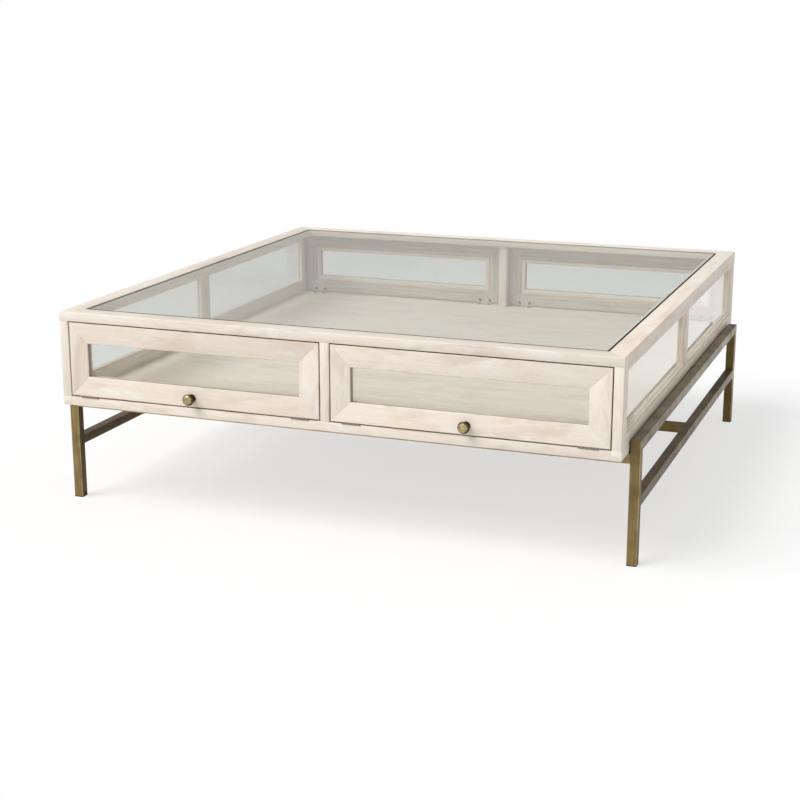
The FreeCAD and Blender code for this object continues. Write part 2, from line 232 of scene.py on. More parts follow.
base_tubes = {
    "legs": ("z", olive_gold, pale_gold, (
        "leg_front_left", "leg_front_right", "leg_back_left", "leg_back_right",
    )),
    "side_rails": ("y", olive_taupe, pale_taupe, (
        "base_rail_left", "base_rail_right", "base_stretcher_left", "base_stretcher_right",
    )),
    "cross_bar": ("x", olive_gold, pale_gold, ("base_cross_bar",)),
    "beams": ("x", beam_painted_light_gold, beam_painted_light_pale, ("base_beam_front", "base_beam_back")),
}
for name, (axis, dull, rubbed, tubes) in base_tubes.items():
    brass = brushed_brass("antique_brass_" + name, axis, dull, rubbed)
    for tube in tubes:
        give_finish(tube, brass)

# Feet: glides moulded in black plastic with a fine leather-like skin, one pressed into
# the open end of each leg.
foot_black = (0.018, 0.017, 0.016, 1)
foot_worn = (0.05, 0.048, 0.045, 1)
skin_scale = 900.0
skin_relief = (0.2, 0.0002)
scuff_scale = 120.0
scuff_range = (0.5, 0.8)
plastic_roughness = (0.45, 0.6)


def moulded_plastic(name, dark, worn):
    """Moulded plastic with a fine leather-like skin."""
    material = new_material(name)
    place = add(material, "TexCoord").outputs["Object"]
    skin = noise(material, place, [skin_scale] * 3, detail=2.0)
    scuffs = noise(material, place, [scuff_scale] * 3)
    return shown_by(material, add(material, "BsdfPrincipled", {
        "Base Color": tint(material, ramp(material, scuffs, *scuff_range), dark, worn),
        "Roughness": spread(material, scuffs, *plastic_roughness),
        "Normal": relief(material, skin, *skin_relief),
    }))


give_finish("leg_feet", moulded_plastic("glide_plastic", foot_black, foot_worn))

# Floor panel: a veneered board that the base carries, its grain along the front.
# Like all the wood it has a thin white wash, rubbed back so that the grain, the small
# knots and the pinkish heart of the wood show through.
wash_cream = (0.905, 0.822, 0.722, 1)
wash_pink = (0.760, 0.640, 0.548, 1)
wash_peach = (0.815, 0.668, 0.515, 1)
wash_pale = (0.945, 0.900, 0.835, 1)
bare_tan = (0.540, 0.370, 0.240, 1)
bare_and_shade_brown = (0.130, 0.080, 0.048, 1)
knot_brown = (0.170, 0.085, 0.040, 1)
# Noise fields: scales along, across and through the board, detail, roughness, distortion.
wood_fields = {
    "heart": ((5.5, 24.0, 24.0), 4.0, 0.62, 0.8),
    "board": ((0.35, 0.35, 0.35), 0.0),
    "cloud": ((12.0, 32.0, 32.0), 4.0, 0.6, 0.5),
    "streak": ((5.0, 300.0, 300.0), 4.0, 0.6),
    "fine": ((40.0, 1500.0, 1500.0), 2.0, 0.6),
    "pore": ((75.0, 800.0, 800.0), 2.0),
    "open_grain": ((7.0, 20.0, 20.0), 2.0),
    "wear": ((17.0, 60.0, 60.0), 5.0),
}
# Layers of the wash: field, where each starts and is full, how much of it, and its colour.
wash_layers = [
    ("heart", 0.47, 0.68, 0.80, wash_pink),
    ("board", 0.50, 0.70, 0.25, wash_peach),
    ("cloud", 0.46, 0.30, 0.75, wash_pale),
    ("streak", 0.48, 0.74, 0.40, wash_pale),
    ("streak", 0.46, 0.25, 0.45, wash_pink),
    ("cloud", 0.54, 0.74, 0.65, wash_peach),
]
pore_range = (0.62, 0.72)
open_grain_range = (0.50, 0.62)
pore_amount = 0.55
knots_per_metre = (9.0, 13.0, 1.5)
knot_share = (0.90, 0.92)
knot_margin = (0.002, 0.006)
knot_ring = (0.17, 0.04)
knot_ring_amount = 0.30
knot_heart = (0.045, 0.015)
knot_heart_amount = 0.65
wear_margin = (0.0030, 0.0002)
wear_range = (0.50, 0.68)
wear_amount = 0.6
stain_and_shade_range = (0.64, 0.36, 0.58, 1.0)
wood_roughness = (0.46, 0.62)
wood_gloss = 0.35
grain_relief = (0.28, 0.00025)
ease_width = 0.0004
arris_steps = 4
square_ends = (0, 0)
hair = 0.00001
sharp_angle = math.radians(35)
seed_step = Vector((3.71, 0.63, 0.29))
seed_span = 17.0
right_way = Vector((1, 0, 0))
back_way = Vector((0, 1, 0))
up_way = Vector((0, 0, 1))
as_built = Matrix.Identity(4)
board_count = itertools.count(1)


def showing(material, colour, first, second, amount, under):
    """The colour, with another one showing where both masks are high."""
    both = times(material, first, second)
    return tint(material, times(material, both, amount), colour, under)


def with_knots(material, grain, from_edge, colour):
    """Small knots through the board, kept off its edges: a dark heart in a tan ring."""
    spots = add(material, "Mapping", {"Vector": grain, "Scale": knots_per_metre})
    knots = add(material, "TexVoronoi", {"Vector": spots.outputs[0], "Scale": 1.0})
    chosen = add(material, "SeparateColor", {"Color": knots.outputs["Color"]}).outputs[0]
    here = times(
        material, ramp(material, chosen, *knot_share), ramp(material, from_edge, *knot_margin)
    )
    ring = ramp(material, knots.outputs["Distance"], *knot_ring)
    heart = ramp(material, knots.outputs["Distance"], *knot_heart)
    colour = showing(material, colour, ring, here, knot_ring_amount, bare_tan)
    return showing(material, colour, heart, here, knot_heart_amount, knot_brown)


def whitewashed_wood():
    """White-washed wood. Its grain follows each board's own length, from the attribute."""
    material = new_material("whitewashed_wood")
    grain = add(material, "Attribute", attribute_name="grain").outputs["Vector"]
    reach = add(material, "Attribute", attribute_name="edges").outputs["Vector"]
    edges = add(material, "SeparateXYZ", {"Vector": reach}).outputs
    from_edge = worked_out(material, "MINIMUM", edges[0], edges[1])
    from_arris = worked_out(material, "ADD", from_edge, edges[2])
    fields = {
        name: noise(material, grain, *settings) for name, settings in wood_fields.items()
    }
    colour = wash_cream
    for name, first, full, amount, layer in wash_layers:
        seen = ramp(material, fields[name], first, full, 0.0, amount)
        colour = tint(material, seen, colour, layer)
    pores = ramp(material, fields["pore"], *pore_range)
    open_grain = ramp(material, fields["open_grain"], *open_grain_range)
    colour = showing(material, colour, pores, open_grain, pore_amount, bare_tan)
    colour = with_knots(material, grain, from_edge, colour)
    at_arris = ramp(material, from_arris, *wear_margin)
    worn = ramp(material, fields["wear"], *wear_range)
    colour = showing(material, colour, at_arris, worn, wear_amount, bare_tan)
    # Brown painted in where a board asks for it: painted shade round the door gaps, the sight edges
    # and the rim's rebate, and on the inside faces of the doors painted shade with less wash.
    unwashed_and_shaded = add(material, "Attribute", attribute_name="bare_and_shade").outputs["Fac"]
    stained_and_shaded = times(material, unwashed_and_shaded, ramp(material, fields["streak"], *stain_and_shade_range))
    height = worked_out(material, "ADD", fields["streak"], fields["fine"])
    return shown_by(material, add(material, "BsdfPrincipled", {
        "Base Color": tint(material, stained_and_shaded, colour, bare_and_shade_brown),
        "Roughness": spread(material, fields["streak"], *wood_roughness),
        "Normal": relief(material, height, *grain_relief), "Specular IOR Level": wood_gloss,
    }))


def eased(corners):
    """Outline through (across, up, radius) corners, each rounded by its own radius."""
    points = []
    for index, (across, up, radius) in enumerate(corners):
        corner = Vector((across, up))
        if radius == 0:
            points.append(corner)
            continue
        after = corners[(index + 1) % len(corners)]
        back = (Vector(corners[index - 1][:2]) - corner).normalized()
        ahead = (Vector(after[:2]) - corner).normalized()
        centre = corner + (back + ahead) * radius
        for step in range(arris_steps + 1):
            turn = math.pi / 2 * step / arris_steps
            points.append(centre - radius * (ahead * math.cos(turn) + back * math.sin(turn)))
    return points


def placing(corner, along, across, out):
    """Matrix that carries a board's own (along, across, up) to its place in the table."""
    matrix = Matrix((along, across, out)).transposed().to_4x4()
    matrix.translation = corner
    return matrix


def link(piece):
    """The piece, put into the scene."""
    bpy.context.scene.collection.objects.link(piece)
    return piece


def cut_away(shape, blocks):
    """The board with rectangular rebates cut out of it."""
    blank = link(bpy.data.objects.new("blank", bpy.data.meshes.new("blank")))
    shape.to_mesh(blank.data)
    cutters = []
    for low, high in blocks:
        block = bmesh.new()
        size = Matrix.Diagonal((*(high - low), 1))
        bmesh.ops.create_cube(block, matrix=Matrix.Translation((low + high) / 2) @ size)
        cutter = link(bpy.data.objects.new("rebate", bpy.data.meshes.new("rebate")))
        block.to_mesh(cutter.data)
        block.free()
        cutters.append(cutter)
        cut = blank.modifiers.new("rebate", "BOOLEAN")
        cut.operation = "DIFFERENCE"
        cut.solver = "EXACT"
        cut.object = cutter
    bpy.context.view_layer.update()
    result = bmesh.new()
    result.from_mesh(blank.evaluated_get(bpy.context.evaluated_depsgraph_get()).data)
    for piece in [blank] + cutters:
        bpy.data.meshes.remove(piece.data)
    return result


def inside(point, low, high):
    """True where a board's own point lies between two (across, up) corners."""
    return all(
        start - hair <= value <= end + hair
        for start, value, end in zip(low, (point.y, point.z), high)
    )


def sawn(outline, length, cuts, place):
    """The outline carried along the board, each end cut square (0) or as a mitre (1)."""
    shape = bmesh.new()
    near = [shape.verts.new((cuts[0] * across, across, up)) for across, up in outline]
    far = [shape.verts.new((length - cuts[1] * across, across, up)) for across, up in outline]
    shape.faces.new(near)
    shape.faces.new(far[::-1])
    for index in range(len(outline)):
        shape.faces.new((near[index - 1], near[index], far[index], far[index - 1]))
    shape.transform(place)
    bmesh.ops.recalc_face_normals(shape, faces=shape.faces)
    return shape


def ease_edges(shape):
    """Sharp outer edges of the board, rounded off a little."""
    outer = [
        edge for edge in shape.edges
        if edge.is_convex and edge.calc_face_angle(0.0) > sharp_angle
    ]
    bmesh.ops.bevel(shape, geom=outer, offset=ease_width, segments=2, profile=0.5,
                    affect="EDGES", clamp_overlap=True)
    shape.verts.index_update()


def board(outline, length, cuts, place, rebates=(), turn=as_built, bare_and_shade=()):
    """One board: its corners, its faces, its grain and how far its edges are.

    The outline is drawn as (across, up), with the outer face at up = 0. Where the outline
    lies between two (across, up) corners, brown is painted in by an amount: painted shade,
    in places also less wash.
    """
    shape = sawn(outline, length, cuts, place)
    if rebates:
        whole = shape
        shape = cut_away(whole, rebates)
        whole.free()
    ease_edges(shape)
    width = max(across for across, up in outline)
    own = [place.inverted() @ vert.co for vert in shape.verts]
    seed = Vector(number % seed_span for number in seed_step * next(board_count))
    made = {
        "verts": [turn @ vert.co for vert in shape.verts],
        "faces": [[vert.index for vert in face.verts] for face in shape.faces],
        "grain": [point + seed for point in own],
        "edges": [Vector((point.y, width - point.y, -point.z)) for point in own],
        "bare_and_shade": [
            max([amount for low, high, amount in bare_and_shade if inside(point, low, high)], default=0.0)
            for point in own
        ],
    }
    shape.free()
    return made


def slab(low, high, along, out, radii=(0, 0, 0, 0)):
    """Square-ended board between two corners, as board() takes it, and its face outward."""
    across = out.cross(along)
    size = high - low
    length, width, depth = (abs(size.dot(way)) for way in (along, across, out))
    corner = (low + high) / 2 - along * length / 2 - across * width / 2 + out * depth / 2
    places = ((0, 0), (width, 0), (width, -depth), (0, -depth))
    outline = eased([(x, y, radius) for (x, y), radius in zip(places, radii)])
    return outline, length, square_ends, placing(corner, along, across, out)


def stands_for(piece, slot, *nodes):
    """The piece rides with these CAD nodes and takes their place."""
    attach(piece, frame["nodes"][nodes[0]]["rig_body"])
    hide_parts(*nodes)
    return piece


def joinery(node, boards):
    """One wooden node, made of its boards."""
    verts = []
    faces = []
    for made in boards:
        faces += [[index + len(verts) for index in face] for face in made["faces"]]
        verts += made["verts"]
    mesh = bpy.data.meshes.new(node + "_wood")
    mesh.from_pydata(verts, [], faces)
    for name in ("grain", "edges"):
        values = [number for made in boards for point in made[name] for number in point]
        mesh.attributes.new(name, "FLOAT_VECTOR", "POINT").data.foreach_set("vector", values)
    values = [amount for made in boards for amount in made["bare_and_shade"]]
    mesh.attributes.new("bare_and_shade", "FLOAT", "POINT").data.foreach_set("value", values)
    mesh.shade_smooth()
    mesh.set_sharp_from_angle(angle=sharp_angle)
    mesh.materials.append(wood)
    piece = link(bpy.data.objects.new(node + "_wood", mesh))
    stands_for(piece, "whitewashed_wood", node)


wood = whitewashed_wood()
joinery("floor_panel", [board(*slab(*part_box("floor_panel"), right_way, up_way))])

# Lipping: solid strips of the same wood, glued round the floor panel to cover its edges.
# The outer edges are eased.
lipping_width = 0.020
arris = 0.0015
half_turn = Matrix.Diagonal((-1, -1, 1, 1))
lip_low, lip_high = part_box("bottom_lipping")
front_lip = slab(
    Vector((lip_low.x + lipping_width, lip_low.y, lip_low.z)),
    Vector((lip_high.x - lipping_width, lip_low.y + lipping_width, lip_high.z)),
    right_way, -back_way, (arris, arris, 0, 0),
)
right_lip = slab(
    Vector((lip_high.x - lipping_width, lip_low.y, lip_low.z)), lip_high,
    back_way, right_way, (arris, 0, 0, 0),
)
joinery("bottom_lipping", [
    board(*lip, turn=turn) for lip in (front_lip, right_lip) for turn in (as_built, half_turn)
])

# Posts: narrow solid uprights between the doors of each pair, front and back. They stand
# on the bottom and carry the middle of the top frame.
for node, out in (("middle_post_front", -back_way), ("middle_post_back", back_way)):
    joinery(node, [board(*slab(*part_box(node), up_way, out))])

# Fixed sides: solid stiles, rails and a muntin, glued up on the bottom and rebated from
# outside for two panes each. The left side is the right one turned half round.
rebate_lap = 0.008
pane_back = 0.013
rebate_run_out = 0.001
side_boxes = {
    name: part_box("side_right_" + name)
    for name in ("front_stile", "back_stile", "bottom_rail", "top_rail", "mullion")
}
side_face = side_boxes["front_stile"][1].x
opening_low = side_boxes["bottom_rail"][1].z
opening_high = side_boxes["top_rail"][0].z
opening_ends = [
    (side_boxes["front_stile"][1].y, side_boxes["mullion"][0].y),
    (side_boxes["mullion"][1].y, side_boxes["back_stile"][0].y),
]
side_rebates = [
    (
        Vector((side_face - pane_back, start - rebate_lap, opening_low - rebate_lap)),
        Vector((side_face + rebate_run_out, end + rebate_lap, opening_high + rebate_lap)),
    )
    for start, end in opening_ends
]
side_ways = {
    "front_stile": (up_way, (0, arris, 0, 0)),
    "back_stile": (up_way, (arris, 0, 0, 0)),
    "bottom_rail": (back_way, (0, 0, 0, 0)),
    "top_rail": (back_way, (0, 0, 0, 0)),
    "mullion": (up_way, (0, 0, 0, 0)),
}
turned_names = {"front_stile": "back_stile", "back_stile": "front_stile"}
for name, (along, radii) in side_ways.items():
    member = slab(*side_boxes[name], along, right_way, radii)
    joinery("side_right_" + name, [board(*member, rebates=side_rebates)])
    other = "side_left_" + turned_names.get(name, name)
    joinery(other, [board(*member, rebates=side_rebates, turn=half_turn)])

# Panes: 4 mm clear float glass, faintly green, cut square. They lie loose in the rebates
# of the sides and the doors, where the beads hold them.
pane_tint = (0.820, 0.838, 0.825, 1)
pane_shadow_tint = (0.945, 0.958, 0.950, 1)
wave_scale = 7.0
wave_relief = (0.05, 0.001)
film_scale = 40.0
film_range = (0.5, 0.8, 0.0, 0.03)
glass_index = 1.5


def clear_glass(name, seen_tint, shadow_tint):
    """Float glass. Lamps and soft light pass straight through it."""
    material = new_material(name)
    place = add(material, "TexCoord").outputs["Object"]
    wave = noise(material, place, [wave_scale] * 3, detail=1.0)
    film = noise(material, place, [film_scale] * 3, detail=5.0)
    shader = add(material, "BsdfPrincipled", {
        "Base Color": seen_tint, "Roughness": ramp(material, film, *film_range),
        "Transmission Weight": 1.0, "IOR": glass_index,
        "Normal": relief(material, wave, *wave_relief),
    })
    through = add(material, "BsdfTransparent", {"Color": shadow_tint})
    path = add(material, "LightPath")
    for ray in ("Is Diffuse Ray", "Is Shadow Ray"):
        shader = add(material, "MixShader", {
            0: path.outputs[ray], 1: shader.outputs[0], 2: through.outputs[0],
        })
    return shown_by(material, shader)


pane_glass = clear_glass("pane_glass", pane_tint, pane_shadow_tint)
for name in frame["nodes"]:
    if name.endswith(("_pane", "_panes")):
        give_finish(name, pane_glass)

# Side beads: stepped wooden mouldings, mitred round each pane and pressed into the
# rebates from outside, so that they hold the glass.
bead_recess = 0.002
bead_step_width = 0.004
bead_step_height = 0.0025
pane_setback = 0.009
mitred_ends = (1, 1)
side_bead_outline = [
    Vector((0, -bead_recess)),
    Vector((bead_step_width, -bead_recess)),
    Vector((bead_step_width, -bead_recess - bead_step_height)),
    Vector((rebate_lap, -bead_recess - 2 * bead_step_height)),
    Vector((rebate_lap, -pane_setback)),
    Vector((0, -pane_setback)),
]


def mitred_frame(outline, size, corner, right, rise, turn=as_built, bare_and_shade=()):
    """Bottom, right, top and left members of a mitred frame, from its lower left corner."""
    across = right * size[0]
    up = rise * size[1]
    runs = [
        (corner, right, rise, size[0]),
        (corner + across, rise, -right, size[1]),
        (corner + across + up, -right, -rise, size[0]),
        (corner + up, -rise, right, size[1]),
    ]
    out = right.cross(rise)
    return [
        board(
            outline, length, mitred_ends, placing(start, along, inward, out),
            turn=turn, bare_and_shade=bare_and_shade,
        )
        for start, along, inward, length in runs
    ]


for node, turn in (("side_right_beads", as_built), ("side_left_beads", half_turn)):
    beads = []
    for start, end in opening_ends:
        size = (end - start + 2 * rebate_lap, opening_high - opening_low + 2 * rebate_lap)
        corner = Vector((side_face, start - rebate_lap, opening_low - rebate_lap))
        beads += mitred_frame(side_bead_outline, size, corner, back_way, up_way, turn)
    joinery(node, beads)

# Top frame: four solid rails, mitred at the corners, rebated for the glass and glued down
# on the sides and the posts. The walls of the rebate are painted brown: painted shade.
top_face_width = 0.038
top_ledge_width = 0.012
top_rebate_depth = 0.006
rebate_wall_shade = 0.5
rim_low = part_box("top_rail_left")[0]
rim_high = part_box("top_rail_right")[1]
rim_thickness = rim_high.z - rim_low.z
rim_width = top_face_width + top_ledge_width
rim_outline = eased([
    (0, 0, arris),
    (top_face_width, 0, 0),
    (top_face_width, -top_rebate_depth, 0),
    (rim_width, -top_rebate_depth, 0),
    (rim_width, -rim_thickness, arris),
    (0, -rim_thickness, 0),
])
rim_size = (rim_high.x - rim_low.x, rim_high.y - rim_low.y)
rim_corner = Vector((rim_low.x, rim_low.y, rim_high.z))
# The wall of the rebate is painted brown: painted shade in the gap round the glass.
rim_shade = [((top_face_width, -top_rebate_depth), (top_face_width, 0), rebate_wall_shade)]
rim_boards = mitred_frame(
    rim_outline, rim_size, rim_corner, right_way, back_way, bare_and_shade=rim_shade
)
for side, rail in zip(("front", "right", "back", "left"), rim_boards):
    joinery("top_rail_" + side, [rail])

# Top glass: 5 mm float glass lying on clear pads. Its edges are ground; the upper arris
# is polished and painted near black, standing in for the deep green seen into the sheet
# and for the shade of the gap round it, and the rest stays frosted.
ground_arris = 0.0022
sheet_tint = (0.975, 0.990, 0.955, 1)
sheet_shadow_tint = (0.970, 0.980, 0.972, 1)
# The polished arris is painted near black: painted depth of the sheet's green and painted shade of
# the gap.
edge_painted_dark_green = (0.008, 0.014, 0.011, 1)
edge_painted_dark_pale = (0.045, 0.065, 0.052, 1)
frost_green = (0.50, 0.52, 0.42, 1)
frost_white = (0.70, 0.71, 0.60, 1)
grinding_scale = (300.0, 300.0, 2500.0)
grinding_relief = (0.3, 0.0001)
grinding_range = (0.4, 0.7)
ground_roughness = (0.4, 0.6)
ground_gloss = 0.15
polished_face = 1
frosted_face = 2
pad_milky = (0.75, 0.76, 0.74, 1)
haze_scale = 500.0
pad_roughness = (0.25, 0.45)
pad_clearness = 0.6
pad_index = 1.45


def ground_edge(name, deep, pale):
    """Ground glass edge, finely scratched along the sheet."""
    material = new_material(name)
    place = add(material, "TexCoord").outputs["Object"]
    scratches = noise(material, place, grinding_scale)
    return shown_by(material, add(material, "BsdfPrincipled", {
        "Base Color": tint(material, ramp(material, scratches, *grinding_range), deep, pale),
        "Roughness": spread(material, scratches, *ground_roughness),
        "Specular IOR Level": ground_gloss,
        "Normal": relief(material, scratches, *grinding_relief),
    }))


glass_low, glass_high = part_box("top_glass")
sheet = bmesh.new()
sheet_size = Matrix.Diagonal((*(glass_high - glass_low), 1))
sheet_place = Matrix.Translation((glass_low + glass_high) / 2)
bmesh.ops.create_cube(sheet, matrix=sheet_place @ sheet_size)
bmesh.ops.bevel(sheet, geom=sheet.edges[:], offset=ground_arris, segments=1, affect="EDGES")
sheet.normal_update()
for face in sheet.faces:
    if abs(face.normal.z) < math.cos(sharp_angle):
        face.material_index = polished_face if face.normal.z > hair else frosted_face
sheet_mesh = bpy.data.meshes.new("top_glass_sheet")
sheet.to_mesh(sheet_mesh)
sheet.free()
sheet_mesh.materials.append(clear_glass("top_sheet_glass", sheet_tint, sheet_shadow_tint))
sheet_mesh.materials.append(ground_edge("polished_glass_edge_painted_dark", edge_painted_dark_green, edge_painted_dark_pale))
sheet_mesh.materials.append(ground_edge("frosted_glass_edge", frost_green, frost_white))
stands_for(link(bpy.data.objects.new("top_glass_sheet", sheet_mesh)), "glass", "top_glass")


def soft_pad():
    """Clear soft plastic bumper."""
    material = new_material("clear_bumper")
    place = add(material, "TexCoord").outputs["Object"]
    haze = noise(material, place, [haze_scale] * 3)
    return shown_by(material, add(material, "BsdfPrincipled", {
        "Base Color": pad_milky, "Roughness": spread(material, haze, *pad_roughness),
        "Transmission Weight": pad_clearness, "IOR": pad_index,
    }))


give_finish("top_glass_pads", soft_pad())

# Doors: mitred frames of solid wood with eased edges, rebated behind for the pane. Each
# is hinged along its foot and drops open to the front or the back. The faces round the
# gaps and the sight edges are painted brown as painted shade; the inside faces are browner,
# partly less wash and partly painted shade.
member_width = 0.042
sight_chamfer = 0.001
gap_face_shade = 1.0
sight_edge_shade = 0.7
inner_face_bare_and_shade = 0.50
door_pairs = {
    "front_left": (("front_left", as_built), ("back_right", half_turn)),
    "front_right": (("front_right", as_built), ("back_left", half_turn)),
}
door_low, door_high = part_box("door_front_left_frame")
door_thickness = door_high.y - door_low.y
door_outline = eased([
    (0, 0, arris),
    (member_width - sight_chamfer, 0, 0),
    (member_width, -sight_chamfer, 0),
    (member_width, -pane_setback, 0),
    (member_width - rebate_lap, -pane_setback, 0),
    (member_width - rebate_lap, -door_thickness, 0),
    (0, -door_thickness, 0),
])
# Painted shade on the gap faces and the sight edges; on the inside faces painted shade and less
# wash.
door_bare_and_shade = [
    ((0, -door_thickness), (0, -arris), gap_face_shade),
    ((member_width, -pane_setback), (member_width, -sight_chamfer), sight_edge_shade),
    ((0, -door_thickness), (member_width, -door_thickness), inner_face_bare_and_shade),
]
for name, pair in door_pairs.items():
    low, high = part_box("door_" + name + "_frame")
    size = (high.x - low.x, high.z - low.z)
    for door, turn in pair:
        members = mitred_frame(door_outline, size, low, right_way, up_way, turn, door_bare_and_shade)
        joinery("door_" + door + "_frame", members)

# Door beads: chamfered wooden strips, mitred round each pane and pressed into the rebate
# from inside, so that they hold the glass.
bead_chamfer = 0.0025
door_bead_outline = [
    Vector((0, -pane_back)),
    Vector((rebate_lap, -pane_back)),
    Vector((rebate_lap, -door_thickness + bead_chamfer)),
    Vector((rebate_lap - bead_chamfer, -door_thickness)),
    Vector((0, -door_thickness)),
]
bead_inset = member_width - rebate_lap
for name, pair in door_pairs.items():
    low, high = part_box("door_" + name + "_frame")
    size = (high.x - low.x - 2 * bead_inset, high.z - low.z - 2 * bead_inset)
    corner = Vector((low.x + bead_inset, low.y, low.z + bead_inset))
    for door, turn in pair:
        beads = mitred_frame(door_bead_outline, size, corner, right_way, up_way, turn)
        joinery("door_" + door + "_beads", beads)

# Hinges: pairs of bent steel leaves with rounded corners and three round knuckles on a
# pin, held by dark slotted screws, two in each leaf. A steel disc in each door's top edge
# and a nickel-plated magnet pressed into the rail above it keep the door shut.
hinge_length = 0.038
hinge_inset = 0.042
small_flats = 24
knuckle_radius = 0.0015
pin_radius = 0.00075
bore_radius = 0.0008
knuckle_end_gap = 0.00015
leaf_thickness = 0.0008
leaf_upstand = 0.017
leaf_on_floor = 0.0165
leaf_start = 0.0018
leaf_corner = 0.002
leaf_fold_lap = 0.0004
hinge_axis_proud = 0.0006
hinge_screw_spacing = 0.026
hinge_screw_radius = 0.0041
hinge_screw_height = 0.0011
door_screw_rise = 0.0070
floor_screw_inset = 0.0085
hinge_grey = (0.58, 0.55, 0.49, 1)
hinge_worn = (0.76, 0.73, 0.66, 1)
# The knuckles are a dull dark taupe: painted shade, so that they sit in the dark line of the gap.
barrel_shaded_taupe = (0.170, 0.130, 0.100, 1)
barrel_shaded_rubbed = (0.260, 0.210, 0.165, 1)
# Crown of a screw head: shares of its radius and of its height, from the edge inward.
crown_shares = [(1.0, 0.0), (0.96, 0.45), (0.78, 0.85), (0.5, 1.0), (0.0, 1.0)]
slot_half_width = 0.00045
slot_floor_share = 0.4
screw_finish = 1
barrel_finish = 2
screw_dark = (0.060, 0.052, 0.045, 1)
screw_rubbed = (0.20, 0.18, 0.15, 1)
strike_radius = 0.005
strike_depth = 0.002
strike_proud = 0.00005
mottle_scale = 260.0
mottle_range = (0.45, 0.7)
mottle_roughness = 0.12
plate_scale = 2200.0
plate_relief = (0.1, 0.0001)
floor_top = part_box("floor_panel")[1].z
door_back = door_high.y
axis_y = door_low.y - hinge_axis_proud
axis_z = (floor_top + door_low.z) / 2
start_y = axis_y + leaf_start
tongue_y = axis_y + (pin_radius + knuckle_radius) / 2
third = hinge_length / 3


def plated_steel(name, plain, rubbed, metallic, roughness):
    """Plated steel with a soft mottled grain, rubbed bright in places."""
    material = new_material(name)
    place = add(material, "TexCoord").outputs["Object"]
    mottle = noise(material, place, [mottle_scale] * 3, detail=4.0)
    fine = noise(material, place, [plate_scale] * 3)
    return shown_by(material, add(material, "BsdfPrincipled", {
        "Base Color": tint(material, ramp(material, mottle, *mottle_range), plain, rubbed),
        "Roughness": spread(material, mottle, roughness, roughness + mottle_roughness),
        "Metallic": metallic, "Normal": relief(material, fine, *plate_relief),
    }))


def turned_part(shape, sections, flats, place, index=0):
    """Turned piece through (radius, level) sections, added to a mesh."""
    rings = []
    for radius, level in sections:
        if radius == 0:
            rings.append([shape.verts.new(place @ Vector((0, 0, level)))] * flats)
            continue
        turns = [2 * math.pi * step / flats for step in range(flats)]
        ways = [Vector((math.cos(turn), math.sin(turn), 0)) for turn in turns]
        rings.append([
            shape.verts.new(place @ (way * radius + up_way * level)) for way in ways
        ])
    for lower, upper in zip(rings, rings[1:]):
        for step in range(flats):
            ring = [lower[step - 1], lower[step], upper[step], upper[step - 1]]
            corners = list(dict.fromkeys(ring))
            shape.faces.new(corners).material_index = index


def looking(way):
    """Matrix that carries +Z to a way out of the surface."""
    return up_way.rotation_difference(way).to_matrix().to_4x4()


def slotted_head(shape, radius, height, seat, way, index=0):
    """Crowned screw head with a sawn slot across it."""
    head = bmesh.new()
    crown = [(radius * wide, height * level) for wide, level in crown_shares]
    turned_part(head, crown, small_flats, as_built, index)
    for side in (slot_half_width, slot_half_width + hair):
        for offset in (side, -side):
            parts = head.verts[:] + head.edges[:] + head.faces[:]
            bmesh.ops.bisect_plane(head, geom=parts, plane_co=back_way * offset, plane_no=back_way)
    for vert in head.verts:
        if abs(vert.co.y) < slot_half_width + hair / 2:
            vert.co.z = min(vert.co.z, height * slot_floor_share)
    head.transform(Matrix.Translation(seat) @ looking(way))
    made = bpy.data.meshes.new("screw_head")
    head.to_mesh(made)
    head.free()
    shape.from_mesh(made)
    bpy.data.meshes.remove(made)


def finished(name, shape, materials, slot, *nodes):
    """The mesh as a piece of the table, in the place of its CAD nodes."""
    bmesh.ops.recalc_face_normals(shape, faces=shape.faces)
    mesh = bpy.data.meshes.new(name)
    shape.to_mesh(mesh)
    shape.free()
    mesh.shade_smooth()
    mesh.set_sharp_from_angle(angle=sharp_angle)
    for material in materials:
        mesh.materials.append(material)
    return stands_for(link(bpy.data.objects.new(name, mesh)), slot, *nodes)


def rounded_plate(shape, width, height, corner, place):
    """Thin plate with rounded upper corners, centred across, its foot on the line."""
    points = [(-width / 2, 0.0), (width / 2, 0.0)]
    for side, start in ((1, 0.0), (-1, 90.0)):
        middle = side * (width / 2 - corner)
        for step in range(arris_steps + 1):
            turn = math.radians(start + 90.0 * step / arris_steps)
            x = middle + corner * math.cos(turn)
            y = height - corner + corner * math.sin(turn)
            points.append((x, y))
    lower = [shape.verts.new(place @ Vector((x, y, 0))) for x, y in points]
    upper = [shape.verts.new(place @ Vector((x, y, leaf_thickness))) for x, y in points]
    shape.faces.new(lower)
    shape.faces.new(upper)
    for step in range(len(points)):
        shape.faces.new((lower[step - 1], lower[step], upper[step], upper[step - 1]))


def strap(shape, low, high, turn):
    """Flat strip of a leaf."""
    size = Matrix.Diagonal((*(high - low), 1))
    bmesh.ops.create_cube(shape, matrix=turn @ Matrix.Translation((low + high) / 2) @ size)


def knuckle(shape, start, end, turn):
    """Round knuckle, bored for the pin."""
    place = turn @ Matrix.Translation(Vector((start, axis_y, axis_z))) @ looking(right_way)
    wall = [(bore_radius, 0), (knuckle_radius, 0), (knuckle_radius, end - start)]
    wall += [(bore_radius, end - start), (bore_radius, 0)]
    turned_part(shape, wall, small_flats, place, barrel_finish)


